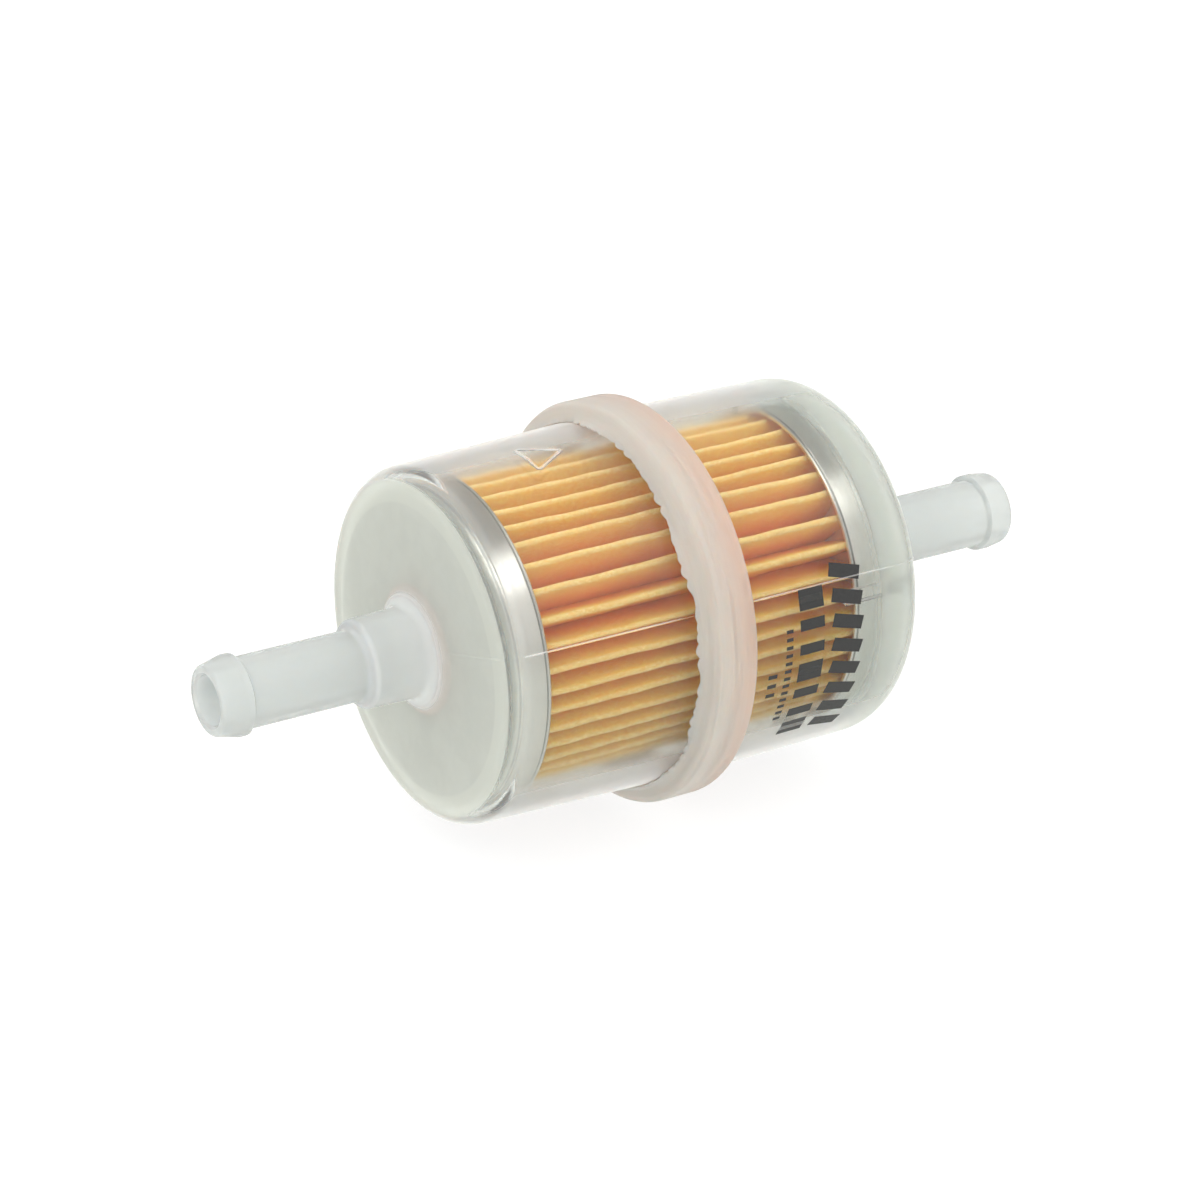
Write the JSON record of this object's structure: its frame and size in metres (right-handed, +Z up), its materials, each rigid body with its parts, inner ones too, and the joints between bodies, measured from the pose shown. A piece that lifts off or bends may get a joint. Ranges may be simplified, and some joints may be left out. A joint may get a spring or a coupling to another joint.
{
  "type": "in-line fuel filter",
  "caption": "Transparent in-line fuel filter with a pleated paper element, a moulded joint collar and barbed hose nipples on both ends.",
  "frame": {"origin": "centre of the whole filter, on its axis, in the plane where the two half shells meet", "axes": "+X along the filter from the inlet nipple to the outlet nipple, +Z up through the raised flow arrow, +Y away from the side that carries the marking"},
  "size_m": [0.106, 0.0466, 0.0466],
  "materials": {
    "clear_nylon_inlet": "gloss",
    "clear_nylon_outlet": "gloss",
    "milky_nylon": "satin",
    "pressed_metal": "satin",
    "filter_paper": "matte",
    "clip_metal": "satin",
    "potting": "satin",
    "seal_rubber": "matte"
  },
  "bodies": {
    "root": {"inlet_housing": "clear_nylon_inlet", "outlet_housing": "clear_nylon_outlet", "joint_collar": "milky_nylon", "inlet_end_cap": "pressed_metal", "outlet_end_cap": "pressed_metal", "pleated_paper": "filter_paper", "paper_seam_clip": "clip_metal", "inlet_potting": "potting", "outlet_potting": "potting", "inlet_seal": "seal_rubber"}
  },
  "joints": []
}
